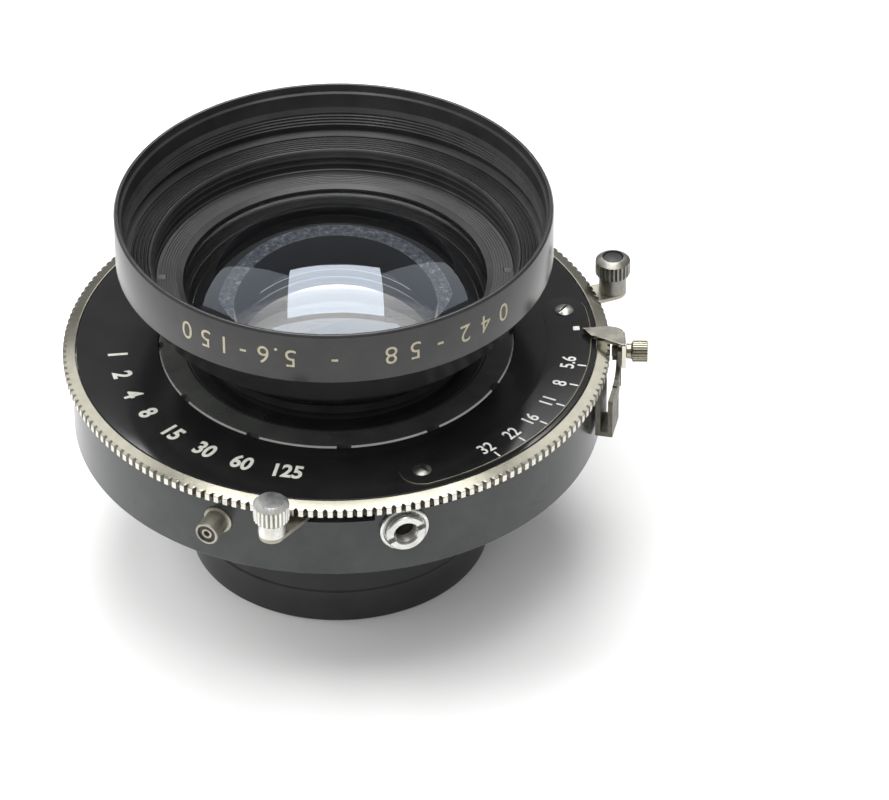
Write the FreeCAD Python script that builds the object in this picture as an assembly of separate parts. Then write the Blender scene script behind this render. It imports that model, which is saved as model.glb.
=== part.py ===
"""Large-format taking lens in a leaf shutter, standing on its rear barrel.

Units are millimetres. +Z is the optical axis, towards the subject. The origin is on the axis, in the plane of the
rear barrel's rim. Angles are in degrees, counter-clockwise from +X as seen from the front of the lens.
"""
import FreeCAD
import Part
import math
import os

# ---- driving dimensions ----------------------------------------------------------------------------------------

# shutter case
CASE_RADIUS = 36.75
WALL = 1.4
CASE_BOTTOM = 20.9
SEAT_INNER = 25.4
SEAT_RECESS = 21.1
FLOOR_TOP = 22.1
WALL_TOP = 31.5
BOSS_RADIUS = 19.5
BOSS_BOTTOM = 16.6
SLEEVE_RADIUS = 22.0
SLEEVE_TOP = 32.6
REAR_THREAD_RADIUS = 18.0
FRONT_THREAD_RADIUS = 20.0
THREAD_CLEARANCE = 0.05

# face of the shutter
FACE_TOP = 33.2
FACE_BOTTOM = 32.1
FACE_RADIUS = 36.0
LOCK_RING_RADIUS = 24.6
LOCK_RING_TOP = 33.35
LOCK_NOTCHES = 12
LOCK_NOTCH_PHASE = 1.7
SPEED_RING_RADIUS = 37.9
SPEED_RING_TEETH = 180
SPEED_RING_TOOTH = 0.42
SPEED_RING_BOTTOM = 31.6
SCALE_MID_RADIUS = 32.25
SCALE_HALF_WIDTH = 3.05
SCALE_START = 290.15
SCALE_END = 369.64
SCALE_TOP = 33.5

# lens cells
FLANGE_RADIUS = 30.0
FLANGE_BOTTOM = 48.0
TOTAL_HEIGHT = 55.9
FILTER_THREAD_RADIUS = 28.6
FRONT_GLASS_RADIUS = 21.4
REAR_BARREL_RADIUS = 21.0

# blades of the iris and of the shutter
BLADE_COUNT = 5
BLADE_PIVOT_RADIUS = 28.0
BLADE_OUTER_RADIUS = 26.0
BLADE_SPAN = 120.0
BLADE_THICKNESS = 0.1
BLADE_PITCH = 0.16
BLADE_CRANK = 5.0
PIN_RADIUS = 0.4
PIN_CLEARANCE = 0.05
CAM_CLEARANCE = 0.07
IRIS_OPEN_RADIUS = 15.2
IRIS_SWING = 26.6
IRIS_TRAVEL = 53.5
SHUTTER_OPEN_RADIUS = 15.6
SHUTTER_SWING = 34.5
SHUTTER_TRAVEL = 14.0

# stack inside the case, from the floor up
IRIS_BASE_TOP = 22.7
IRIS_BLADES_Z = 22.8
IRIS_CAM_Z = 23.75
BLADE_BASE_Z = 24.6
SHUTTER_BLADES_Z = 25.3
SHUTTER_RING_Z = 26.2
MECHANISM_Z = 27.0
MECHANISM_TOP = 27.8
PLATE = 0.6
PLATE_RADIUS = 33.3
LINK_RADIUS = 34.2
HUB_INNER = 22.05
HUB_OUTER = 25.0
PRESS_Z = 29.3
RELEASE_Z = 30.05
APERTURE_Z = 30.8
PILLAR_ANGLES = (50.0, 110.0, 170.0, 250.0)
PILLAR_RADIUS = 32.3

# levers and sockets around the case
RELEASE_ANGLE = 256.97
RELEASE_KNOB_RADIUS = 40.55
RELEASE_ARM_ANGLE = 261.5
PRESS_ANGLE = 21.3
PRESS_KNOB_RADIUS = 41.9
KNOB_RADIUS = 2.45
KNOB_FLUTES = 24
KNOB_FLUTE_DEPTH = 0.24
RELEASE_KNOB_LOW = 33.0
RELEASE_KNOB_TOP = 36.15
PRESS_KNOB_LOW = 32.6
PRESS_KNOB_TOP = 35.5
PRESS_CAP_LOW = 34.9
APERTURE_ANGLE = -13.6
APERTURE_STRIP = 4.7
STRIP_BOTTOM = 24.0
STRIP_INNER = 37.0
STRIP_OUTER = 39.4
POINTER_Z = 33.7
SHEET = 0.6
CLAMP_ANGLE = -2.9
CLAMP_Z = 31.75
SYNC_ANGLE = 243.5
SYNC_Z = 27.9
CABLE_ANGLE = 283.4
CABLE_Z = 28.15
CABLE_BORE_RADIUS = 1.6

# speed governor
GEAR_MODULE = 0.4
SECTOR_TEETH = 140
WHEEL_TEETH = 16
FLY_TEETH = 12
WHEEL_ANGLE = 205.0
FLY_RADIUS = 32.0
GEAR_Z = 28.05
GEAR_WIDTH = 0.7

AXIS = FreeCAD.Vector(0, 0, 1)
ORIGIN = FreeCAD.Vector(0, 0, 0)
parts = {}


# ---- helpers ---------------------------------------------------------------------------------------------------

def polar(radius, angle, z=0.0):
    turn = math.radians(angle)
    return FreeCAD.Vector(radius * math.cos(turn), radius * math.sin(turn), z)


def disc(radius, low, high, centre=ORIGIN):
    return Part.makeCylinder(radius, high - low, FreeCAD.Vector(centre.x, centre.y, low))


def tube(outer, inner, low, high, centre=ORIGIN):
    return disc(outer, low, high, centre).cut(disc(inner, low - 1, high + 1, centre))


def block(x0, x1, y0, y1, z0, z1):
    return Part.makeBox(x1 - x0, y1 - y0, z1 - z0, FreeCAD.Vector(x0, y0, z0))


def prism(points, low, high):
    corners = [FreeCAD.Vector(x, y, low) for x, y in points]
    face = Part.Face(Part.makePolygon(corners + corners[:1]))
    return face.extrude(FreeCAD.Vector(0, 0, high - low))


def turned(profile):
    """A solid turned about Z from its half section, a list of (radius, z)."""
    corners = [FreeCAD.Vector(r, 0, z) for r, z in profile]
    face = Part.Face(Part.makePolygon(corners + corners[:1]))
    return face.revolve(ORIGIN, AXIS, 360)


def spin(shape, angle, centre=ORIGIN):
    copy = shape.copy()
    copy.rotate(centre, AXIS, angle)
    return copy


def joined(shapes):
    """One solid from several that touch or overlap."""
    return shapes[0].fuse(list(shapes[1:])).removeSplitter()


def sector(outer, inner, start, end, low, high):
    """A piece of a flat ring between two angles."""
    middle = (start + end) / 2
    rim = Part.Arc(polar(outer, start, low), polar(outer, middle, low), polar(outer, end, low)).toShape()
    bore = Part.Arc(polar(inner, end, low), polar(inner, middle, low), polar(inner, start, low)).toShape()
    side_a = Part.makeLine(polar(outer, end, low), polar(inner, end, low))
    side_b = Part.makeLine(polar(inner, start, low), polar(outer, start, low))
    face = Part.Face(Part.Wire([rim, side_a, bore, side_b]))
    return face.extrude(FreeCAD.Vector(0, 0, high - low))


def radial(shape, angle, z):
    """Lays a shape that was made along +Z down on its side, so that +Z points outwards at this angle."""
    laid = shape.copy()
    laid.rotate(ORIGIN, FreeCAD.Vector(0, 1, 0), 90)
    laid.rotate(ORIGIN, AXIS, angle)
    laid.translate(FreeCAD.Vector(0, 0, z))
    return laid


def toothed_outline(tip, root, count, tip_share=0.56, root_share=0.3):
    """The corners of a ring of straight-sided teeth. The shares are of one tooth's pitch."""
    pitch = 360.0 / count
    corners = []
    for tooth in range(count):
        middle = tooth * pitch
        for radius, offset in ((tip, -tip_share / 2), (tip, tip_share / 2),
                               (root, 0.5 - root_share / 2), (root, 0.5 + root_share / 2)):
            corner = polar(radius, middle + offset * pitch)
            corners.append((corner.x, corner.y))
    return corners


def knurled_knob(radius, low, high, flutes, depth, crown, drop):
    """A knurled head standing on z = low. Its top is flat inside the radius crown and falls by drop outside it."""
    body = prism(toothed_outline(radius, radius - depth, flutes, 0.5, 0.3), low, high)
    foot = min(0.3, 0.14 * radius)
    envelope = turned([(0, low), (radius - foot, low), (radius, low + foot), (radius, high - drop),
                       (crown, high), (0, high)])
    return body.common(envelope)


def gear_corners(teeth, first=0, last=None, phase=0.0):
    """Corners of gear teeth first to last, tooth 0 centred on the angle phase."""
    pitch_radius = GEAR_MODULE * teeth / 2
    steps = ((-1.15, -0.70), (0.0, -0.66), (0.8, -0.36), (0.8, 0.36), (0.0, 0.66), (-1.15, 0.70))
    corners = []
    for tooth in range(first, teeth if last is None else last + 1):
        for height, half in steps:
            radius = pitch_radius + height * GEAR_MODULE
            angle = phase + tooth * 360.0 / teeth + math.degrees(half * GEAR_MODULE / pitch_radius)
            corner = polar(radius, angle)
            corners.append((corner.x, corner.y))
    return corners


def ball(radius, z):
    return Part.makeSphere(radius, FreeCAD.Vector(0, 0, z))


# ---- lens cells ------------------------------------------------------------------------------------------------

def front_barrel():
    thread = FRONT_THREAD_RADIUS - THREAD_CLEARANCE
    return turned([
        (16.5, 28.0), (thread - 0.3, 28.0), (thread, 28.3), (thread, SLEEVE_TOP), (20.95, SLEEVE_TOP),
        (20.95, 33.25), (20.85, LOCK_RING_TOP), (18.3, LOCK_RING_TOP), (18.3, 34.6), (19.0, 34.8), (19.0, 36.0),
        (26.2, 42.6), (26.2, 46.2), (28.8, 47.4), (29.7, FLANGE_BOTTOM), (FLANGE_RADIUS, FLANGE_BOTTOM + 0.3),
        (FLANGE_RADIUS, TOTAL_HEIGHT - 0.3), (29.75, TOTAL_HEIGHT), (29.4, TOTAL_HEIGHT), (29.35, 54.8),
        (28.95, 54.6), (28.95, 52.4), (FILTER_THREAD_RADIUS, 51.6), (FILTER_THREAD_RADIUS, 49.0),
        (29.1, 48.9), (29.1, 48.4), (28.3, 47.9), (25.2, 47.9), (24.9, 47.6), (24.9, 44.7), (24.7, 44.6),
        (24.7, 43.7), (21.5, 43.7), (21.5, 41.35), (17.3, 41.35), (15.7, 41.1), (15.7, 32.55), (14.6, 32.55),
        (14.6, 31.35), (15.6, 31.0), (16.5, 31.0)])


def rear_barrel():
    thread = REAR_THREAD_RADIUS - THREAD_CLEARANCE
    return turned([
        (19.4, 0.3), (19.7, 0.0), (20.7, 0.0), (REAR_BARREL_RADIUS, 0.3), (REAR_BARREL_RADIUS, 5.1),
        (20.75, 5.35), (20.75, 13.0), (REAR_BARREL_RADIUS, 13.3), (REAR_BARREL_RADIUS, BOSS_BOTTOM),
        (thread, BOSS_BOTTOM), (thread, 21.1), (thread - 0.3, 21.4), (15.5, 21.4), (15.5, 18.0), (14.6, 18.0),
        (14.6, 14.6), (17.6, 14.6), (17.6, 4.95), (18.7, 4.95), (18.7, 3.4), (19.4, 3.2)])


def glasses():
    """Six lens elements in two cells. The bonded surfaces of a pair are the same sphere."""
    bond_front = ball(100, 139.9)
    bond_rear = ball(80, -70.2)
    parts["front_glass"] = disc(FRONT_GLASS_RADIUS, 30, 60).common(ball(45, 3.8)).common(bond_front)
    parts["front_bonded_glass"] = disc(15.6, 32.6, 50).cut(bond_front).cut(ball(34, 0.7))
    parts["front_inner_glass"] = disc(16.4, 20, 40).common(ball(40, -6.0)).cut(ball(60, -29.0))
    parts["rear_inner_glass"] = disc(15.4, 10, 30).common(ball(38, 53.2)).cut(ball(55, 73.0))
    parts["rear_bonded_glass"] = disc(17.4, 5, 14.5).cut(bond_rear).cut(ball(40, 51.4))
    parts["rear_glass"] = disc(17.5, -5, 30).common(ball(50, 52.2)).common(bond_rear)


def retaining_rings():
    """Rings that hold the glass in. The two outer ones have a pair of spanner slots."""
    outer = turned([(20.9, 43.7), (24.65, 43.7), (24.65, 44.5), (24.5, 44.6), (21.7, 44.45), (20.9, 44.05)])
    slots = block(-30, 30, -0.5, 0.5, 44.2, 45.0).cut(disc(23.3, 40, 50))
    parts["front_retaining_ring"] = outer.cut(slots)
    parts["front_inner_ring"] = tube(16.45, 14.8, 28.05, 28.65)
    rear = turned([(16.2, 3.6), (18.6, 3.6), (18.6, 4.85), (16.2, 4.85)])
    parts["rear_retaining_ring"] = rear.cut(block(-30, 30, -0.5, 0.5, 3.0, 4.1).cut(disc(17.4, 0, 9)))
    parts["rear_inner_ring"] = tube(15.45, 14.2, 20.3, 21.3)


# ---- case and fixed plates -------------------------------------------------------------------------------------

def shutter_housing():
    inner = CASE_RADIUS - WALL
    body = turned([
        (REAR_THREAD_RADIUS, BOSS_BOTTOM), (BOSS_RADIUS - 0.2, BOSS_BOTTOM), (BOSS_RADIUS, BOSS_BOTTOM + 0.2),
        (BOSS_RADIUS, SEAT_RECESS), (SEAT_INNER, SEAT_RECESS), (SEAT_INNER, CASE_BOTTOM),
        (CASE_RADIUS - 0.3, CASE_BOTTOM), (CASE_RADIUS, CASE_BOTTOM + 0.3), (CASE_RADIUS, WALL_TOP),
        (inner, WALL_TOP), (inner, FLOOR_TOP), (REAR_THREAD_RADIUS, FLOOR_TOP)])
    slots = [
        sector(40, 33, 257.3, 277.3, RELEASE_Z - 0.12, WALL_TOP + 1),
        sector(40, 33, 14.5, 41.0, PRESS_Z - 0.12, WALL_TOP + 1),
        sector(40, 33, APERTURE_ANGLE - IRIS_TRAVEL - 5.0, APERTURE_ANGLE + 5.0, APERTURE_Z - 0.12, WALL_TOP + 1),
        radial(disc(1.68, 30, 40), SYNC_ANGLE, SYNC_Z),
        radial(disc(2.1, 36.6, 40), SYNC_ANGLE, SYNC_Z),
        radial(disc(2.2, 30, 40), CABLE_ANGLE, CABLE_Z),
        radial(disc(3.42, 36.6, 40), CABLE_ANGLE, CABLE_Z)]
    for slot in slots:
        body = body.cut(slot)
    return body


def case_plates():
    parts["iris_base_plate"] = with_pivot_holes(tube(PLATE_RADIUS, IRIS_OPEN_RADIUS, FLOOR_TOP, IRIS_BASE_TOP))
    base = tube(PLATE_RADIUS, IRIS_OPEN_RADIUS, BLADE_BASE_Z, BLADE_BASE_Z + PLATE)
    parts["blade_base_plate"] = with_pivot_holes(base)
    step = turned([
        (IRIS_OPEN_RADIUS, MECHANISM_Z), (PLATE_RADIUS, MECHANISM_Z), (PLATE_RADIUS, MECHANISM_TOP),
        (24.8, MECHANISM_TOP), (24.8, PRESS_Z - 0.05), (SLEEVE_RADIUS, PRESS_Z - 0.05),
        (SLEEVE_RADIUS, SLEEVE_TOP), (FRONT_THREAD_RADIUS, SLEEVE_TOP), (FRONT_THREAD_RADIUS, MECHANISM_TOP),
        (IRIS_OPEN_RADIUS, MECHANISM_TOP)])
    plunger_gap = radial(block(-2, 2, -1.5, 1.5, 30.2, 35.0), CABLE_ANGLE, CABLE_Z)
    parts["mechanism_plate"] = step.cut(plunger_gap)
    pillars = []
    screws = []
    for angle in PILLAR_ANGLES:
        foot = polar(PILLAR_RADIUS, angle)
        pillars.append(tube(0.8, 0.42, IRIS_BASE_TOP, BLADE_BASE_Z, foot))
        pillars.append(tube(0.8, 0.42, BLADE_BASE_Z + PLATE, MECHANISM_Z, foot))
        head = disc(1.0, MECHANISM_TOP, MECHANISM_TOP + 0.55, foot)
        slot = block(foot.x - 2, foot.x + 2, foot.y - 0.15, foot.y + 0.15, MECHANISM_TOP + 0.3, 30)
        screws.append(joined([head.cut(slot), disc(0.4, FLOOR_TOP, MECHANISM_TOP, foot)]))
        for plate in ("iris_base_plate", "blade_base_plate", "mechanism_plate"):
            parts[plate] = parts[plate].cut(disc(0.4, 20, 30, foot))
    parts["plate_pillars"] = Part.makeCompound(pillars)
    parts["plate_screws"] = Part.makeCompound(screws)


def face_parts():
    face = turned([
        (22.6, FACE_BOTTOM), (FACE_RADIUS, FACE_BOTTOM), (FACE_RADIUS, FACE_TOP - 0.12),
        (FACE_RADIUS - 0.12, FACE_TOP), (24.7, FACE_TOP), (24.7, FACE_BOTTOM + 0.3), (22.6, FACE_BOTTOM + 0.3)])
    scale = sector(SCALE_MID_RADIUS + SCALE_HALF_WIDTH, SCALE_MID_RADIUS - SCALE_HALF_WIDTH, SCALE_START,
                   SCALE_END, FACE_TOP, SCALE_TOP)
    ends = [disc(SCALE_HALF_WIDTH, FACE_TOP, SCALE_TOP, polar(SCALE_MID_RADIUS, a))
            for a in (SCALE_START, SCALE_END)]
    scale = joined([scale] + ends)
    screws = []
    for angle, slot_angle in ((SCALE_START, -35.0), (SCALE_END, 50.0)):
        place = polar(SCALE_MID_RADIUS, angle)
        shank = disc(0.7, FACE_BOTTOM + 0.1, SCALE_TOP, place)
        dome = Part.makeSphere(2.3, FreeCAD.Vector(place.x, place.y, SCALE_TOP - 1.8))
        head = disc(1.3, SCALE_TOP, SCALE_TOP + 0.6, place).common(dome)
        slot = block(-2, 2, -0.17, 0.17, SCALE_TOP + 0.2, SCALE_TOP + 1)
        slot = spin(slot, slot_angle)
        slot.translate(FreeCAD.Vector(place.x, place.y, 0))
        screws.append(joined([shank, head.cut(slot)]))
        face = face.cut(disc(0.7, 30, 40, place))
        scale = scale.cut(disc(0.7, 30, 40, place))
    parts["face_plate"] = face
    parts["aperture_scale_plate"] = scale
    parts["scale_screws"] = Part.makeCompound(screws)
    ring = turned([
        (SLEEVE_RADIUS, FACE_BOTTOM + 0.3), (LOCK_RING_RADIUS, FACE_BOTTOM + 0.3),
        (LOCK_RING_RADIUS, LOCK_RING_TOP - 0.2), (LOCK_RING_RADIUS - 0.2, LOCK_RING_TOP),
        (21.15, LOCK_RING_TOP), (21.02, LOCK_RING_TOP - 0.12), (21.02, SLEEVE_TOP + 0.05),
        (SLEEVE_RADIUS, SLEEVE_TOP + 0.05)])
    notch = block(LOCK_RING_RADIUS - 0.65, LOCK_RING_RADIUS + 1, -1.0, 1.0, SLEEVE_TOP + 0.05, 34)
    for place in range(LOCK_NOTCHES):
        ring = ring.cut(spin(notch, LOCK_NOTCH_PHASE + place * 360.0 / LOCK_NOTCHES))
    parts["face_lock_ring"] = ring


def mounting_lock_ring():
    """The ring nut that clamps the shutter to a lens board."""
    ring = tube(25.0, BOSS_RADIUS + THREAD_CLEARANCE, 18.3, SEAT_RECESS)
    notch = block(23.4, 26, -1.5, 1.5, 18, 19.6)
    for place in range(4):
        ring = ring.cut(spin(notch, 45 + 90 * place))
    return ring


def speed_ring():
    """The knurled ring that sets the shutter speed. A thin web under the face plate guides it on the sleeve."""
    rim = prism(toothed_outline(SPEED_RING_RADIUS, SPEED_RING_RADIUS - SPEED_RING_TOOTH, SPEED_RING_TEETH),
                SPEED_RING_BOTTOM, FACE_TOP)
    section = turned([
        (HUB_INNER, SPEED_RING_BOTTOM), (SPEED_RING_RADIUS, SPEED_RING_BOTTOM),
        (SPEED_RING_RADIUS, FACE_TOP - 0.6), (SPEED_RING_RADIUS - 0.48, FACE_TOP - 0.37),
        (FACE_RADIUS + 0.22, FACE_TOP), (FACE_RADIUS + 0.1, FACE_TOP - 0.1),
        (FACE_RADIUS + 0.1, SPEED_RING_BOTTOM + 0.4), (HUB_INNER, SPEED_RING_BOTTOM + 0.4)])
    return rim.common(section)


# ---- blades and the rings that drive them ----------------------------------------------------------------------

def crank_point(swing, share):
    """Where a blade's drive pin is when the blade has turned share of its swing. Its pivot is at angle 0."""
    lean = math.radians(swing / 2 - swing * share)
    return (BLADE_PIVOT_RADIUS + BLADE_CRANK * math.sin(lean), BLADE_CRANK * math.cos(lean))


def with_pivot_holes(plate):
    for blade in range(BLADE_COUNT):
        place = polar(BLADE_PIVOT_RADIUS, blade * 360.0 / BLADE_COUNT)
        plate = plate.cut(disc(PIN_RADIUS + PIN_CLEARANCE, 20, 30, place))
    return plate


def blade(open_radius, swing, number, lowest, pin_bottom, pin_top):
    """One blade, at the place where it clears the aperture, with its pivot pin below and its drive pin above."""
    low = lowest + number * BLADE_PITCH
    high = low + BLADE_THICKNESS
    crank_x, crank_y = crank_point(swing, 0.0)
    leaf = sector(BLADE_OUTER_RADIUS, open_radius, -8, BLADE_SPAN, low, high)
    ear = prism([(25.2, -3.0), (BLADE_PIVOT_RADIUS, -1.2), (crank_x + 1.1, crank_y - 0.5),
                 (crank_x, crank_y + 1.2), (24.6, 7.5)], low, high)
    pivot = disc(PIN_RADIUS, pin_bottom, high, FreeCAD.Vector(BLADE_PIVOT_RADIUS, 0, 0))
    crank = disc(PIN_RADIUS, low, pin_top, FreeCAD.Vector(crank_x, crank_y, 0))
    boss_pivot = disc(1.2, low, high, FreeCAD.Vector(BLADE_PIVOT_RADIUS, 0, 0))
    boss_crank = disc(1.2, low, high, FreeCAD.Vector(crank_x, crank_y, 0))
    return spin(joined([leaf, ear, boss_pivot, boss_crank, pivot, crank]), number * 360.0 / BLADE_COUNT)


def cam_slot(swing, travel, low, high):
    """The path of a drive pin as seen from its ring, which turns by travel while the blade turns by swing."""
    steps = max(8, round(abs(travel) / 2))
    half = PIN_RADIUS + CAM_CLEARANCE
    line = []
    for step in range(steps + 1):
        share = step / steps
        x, y = crank_point(swing, share)
        turn = math.radians(-travel * share)
        line.append((x * math.cos(turn) - y * math.sin(turn), x * math.sin(turn) + y * math.cos(turn)))
    sides = [[], []]
    for here in range(steps + 1):
        before = line[max(here - 1, 0)]
        after = line[min(here + 1, steps)]
        length = math.hypot(after[0] - before[0], after[1] - before[1])
        normal = ((before[1] - after[1]) / length, (after[0] - before[0]) / length)
        for side, sign in zip(sides, (1, -1)):
            side.append((line[here][0] + sign * half * normal[0], line[here][1] + sign * half * normal[1]))
    slot = prism(sides[0] + sides[1][::-1], low, high)
    ends = [disc(half, low, high, FreeCAD.Vector(x, y, 0)) for x, y in (line[0], line[-1])]
    return [slot] + ends


def drive_ring(swing, travel, low, tab_angle, post_top):
    """A ring with one cam slot for each blade, and a post at its rim that joins it to its lever."""
    ring = tube(31.0, 25.2, low, low + PLATE)
    for number in range(BLADE_COUNT):
        for piece in cam_slot(swing, travel, low - 1, low + 2):
            ring = ring.cut(spin(piece, number * 360.0 / BLADE_COUNT))
    tab = spin(block(30.6, 34.8, -1.5, 1.5, low, low + PLATE), tab_angle)
    post = disc(0.6, low, post_top, polar(LINK_RADIUS, tab_angle))
    return joined([ring, tab, post])


def blades_and_rings():
    for number in range(BLADE_COUNT):
        parts["iris_blade_%d" % (number + 1)] = blade(
            IRIS_OPEN_RADIUS, IRIS_SWING, number, IRIS_BLADES_Z, FLOOR_TOP + 0.1, IRIS_CAM_Z + PLATE - 0.05)
        leaf = blade(SHUTTER_OPEN_RADIUS, SHUTTER_SWING, number, SHUTTER_BLADES_Z, BLADE_BASE_Z + 0.05,
                     SHUTTER_RING_Z + PLATE - 0.05)
        pivot = polar(BLADE_PIVOT_RADIUS, number * 360.0 / BLADE_COUNT)
        parts["shutter_blade_%d" % (number + 1)] = spin(leaf, SHUTTER_SWING, pivot)
    parts["iris_drive_ring"] = drive_ring(IRIS_SWING, -IRIS_TRAVEL, IRIS_CAM_Z, APERTURE_ANGLE, APERTURE_Z)
    open_ring = drive_ring(SHUTTER_SWING, -SHUTTER_TRAVEL, SHUTTER_RING_Z, PRESS_ANGLE + SHUTTER_TRAVEL, PRESS_Z)
    parts["shutter_drive_ring"] = spin(open_ring, -SHUTTER_TRAVEL)


# ---- levers ----------------------------------------------------------------------------------------------------

def release_lever():
    """The lever that fires the shutter. A toothed sector below its hub turns the speed governor."""
    hub = tube(HUB_OUTER, HUB_INNER, RELEASE_Z, RELEASE_Z + SHEET)
    knob = polar(RELEASE_KNOB_RADIUS, RELEASE_ANGLE)
    near = polar(24.0, RELEASE_ARM_ANGLE)
    across = polar(1.0, RELEASE_ARM_ANGLE + 90)
    outer = polar(36.4, RELEASE_ARM_ANGLE - 0.1)
    corners = [near - across * 2.4, outer - across * 1.6, knob + polar(1.75, 232), knob + polar(1.75, 331),
               outer + across * 1.35, near + across * 2.4]
    arm = prism([(c.x, c.y) for c in corners], RELEASE_Z, RELEASE_Z + SHEET)
    tip = disc(1.75, RELEASE_Z, RELEASE_Z + SHEET, knob)
    reach = sector(27.2, 24.5, 189, 209, RELEASE_Z, RELEASE_Z + SHEET)
    web = sector(27.2, 25.4, 189, 209, GEAR_Z, RELEASE_Z + SHEET)
    pitch = 360.0 / SECTOR_TEETH
    teeth = gear_corners(SECTOR_TEETH, 0, 8, WHEEL_ANGLE - 6 * pitch)
    inner = [polar(26.5, WHEEL_ANGLE + 2.6 * pitch), polar(26.5, WHEEL_ANGLE - 6.6 * pitch)]
    rack = prism(teeth + [(p.x, p.y) for p in inner], GEAR_Z, GEAR_Z + GEAR_WIDTH)
    return joined([hub, arm, tip, reach, web, rack])


def press_focus_lever():
    """The lever that holds the blades open for focusing."""
    hub = tube(HUB_OUTER, HUB_INNER, PRESS_Z, PRESS_Z + SHEET)
    arm = spin(block(24.0, PRESS_KNOB_RADIUS, -1.95, 1.95, PRESS_Z, PRESS_Z + SHEET), PRESS_ANGLE)
    tip = disc(1.95, PRESS_Z, PRESS_Z + SHEET, polar(PRESS_KNOB_RADIUS, PRESS_ANGLE))
    return joined([hub, arm, tip])


def lever_knobs():
    place = polar(RELEASE_KNOB_RADIUS, RELEASE_ANGLE)
    foot = RELEASE_Z + SHEET
    top = RELEASE_KNOB_TOP
    knob = knurled_knob(KNOB_RADIUS, RELEASE_KNOB_LOW, top, KNOB_FLUTES, KNOB_FLUTE_DEPTH, 1.8, 0.6)
    crown = turned([(0, top), (1.78, top), (1.7, top + 0.05), (0.9, top + 0.11), (0, top + 0.13)])
    release = joined([disc(1.75, foot, RELEASE_KNOB_LOW), knob, crown])
    release.translate(place)
    parts["release_knob"] = release

    place = polar(PRESS_KNOB_RADIUS, PRESS_ANGLE)
    foot = PRESS_Z + SHEET
    low = PRESS_CAP_LOW
    knob = knurled_knob(KNOB_RADIUS, PRESS_KNOB_LOW, PRESS_KNOB_TOP, KNOB_FLUTES, KNOB_FLUTE_DEPTH, 1.6, 0.6)
    press = joined([disc(1.95, foot, PRESS_KNOB_LOW), knob.cut(disc(1.45, low, PRESS_KNOB_TOP + 1))])
    press.translate(place)
    cap = turned([(0, low), (1.43, low), (1.43, low + 0.3), (1.3, low + 0.38), (0, low + 0.38)])
    cap.translate(place)
    parts["press_focus_knob"] = press
    parts["press_focus_cap"] = cap


def aperture_lever():
    """A strip that leaves the case under the speed ring, dips in a U, and rises again outside the ring."""
    half = APERTURE_STRIP / 2
    top = APERTURE_Z + SHEET
    hub = tube(HUB_OUTER, HUB_INNER, APERTURE_Z, top)
    bend = 0.7
    rise = 38.75
    strip = [
        block(HUB_OUTER - 1, STRIP_INNER + bend, -half, half, APERTURE_Z, top),
        block(STRIP_INNER, STRIP_INNER + bend, -half, half, STRIP_BOTTOM, top),
        block(STRIP_INNER, STRIP_OUTER, -half, half, STRIP_BOTTOM, STRIP_BOTTOM + bend),
        block(rise, STRIP_OUTER, -half, half, STRIP_BOTTOM, 30.1)]
    strip = [spin(piece, APERTURE_ANGLE) for piece in strip]
    band = sector(39.35, rise, APERTURE_ANGLE + 1.5, -3.6, 27.2, 30.3)
    tab = block(rise, 39.3, -4.0, -0.9, 27.2, 33.1)
    boss = radial(disc(1.3, 38.2, 39.0), CLAMP_ANGLE, CLAMP_Z)
    corner = spin(block(38.4, 40, half - 0.9, half + 0.5, 30.2, 31), APERTURE_ANGLE)
    lever = joined([hub] + strip + [band, tab, boss]).cut(corner)
    return lever.cut(radial(disc(0.8, 37, 45), CLAMP_ANGLE, CLAMP_Z))


def aperture_pointer():
    """A pointed plate over the scale, bent down outside the speed ring."""
    plate = prism([(34.15, 0.1), (37.6, 0.45), (38.7, 0.2), (39.5, -0.35), (39.95, -1.3), (39.95, -4.1),
                   (39.3, -3.9), (37.4, -2.75), (35.2, -1.55)], POINTER_Z, POINTER_Z + SHEET)
    leg = block(39.35, 39.95, -4.1, -0.9, 30.3, POINTER_Z + 0.3)
    pointer = joined([plate, leg])
    return pointer.cut(radial(disc(0.85, 37, 45), CLAMP_ANGLE, CLAMP_Z))


def pointer_clamp_screw():
    shank = disc(0.75, 38.0, 41.0)
    neck = turned([(0, 40.12), (1.05, 40.12), (1.05, 40.8), (1.25, 40.95), (0, 40.95)])
    head = knurled_knob(1.5, 40.95, 43.1, 24, 0.14, 1.35, 0.12)
    return radial(joined([shank, neck, head]), CLAMP_ANGLE, CLAMP_Z)


# ---- sockets ---------------------------------------------------------------------------------------------------

def sync_socket():
    shell = turned([(1.3, 34.9), (1.65, 34.9), (1.65, 36.6), (2.05, 36.6), (2.05, 36.95), (1.85, 37.1),
                    (1.65, 37.1), (1.65, 40.25), (1.55, 40.35), (1.3, 40.35)])
    insulator = tube(1.3, 0.78, 35.1, 40.1)
    contact = tube(0.78, 0.4, 35.1, 40.25)
    parts["sync_socket_shell"] = radial(shell, SYNC_ANGLE, SYNC_Z)
    parts["sync_insulator"] = radial(insulator, SYNC_ANGLE, SYNC_Z)
    parts["sync_contact"] = radial(contact, SYNC_ANGLE, SYNC_Z)


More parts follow.
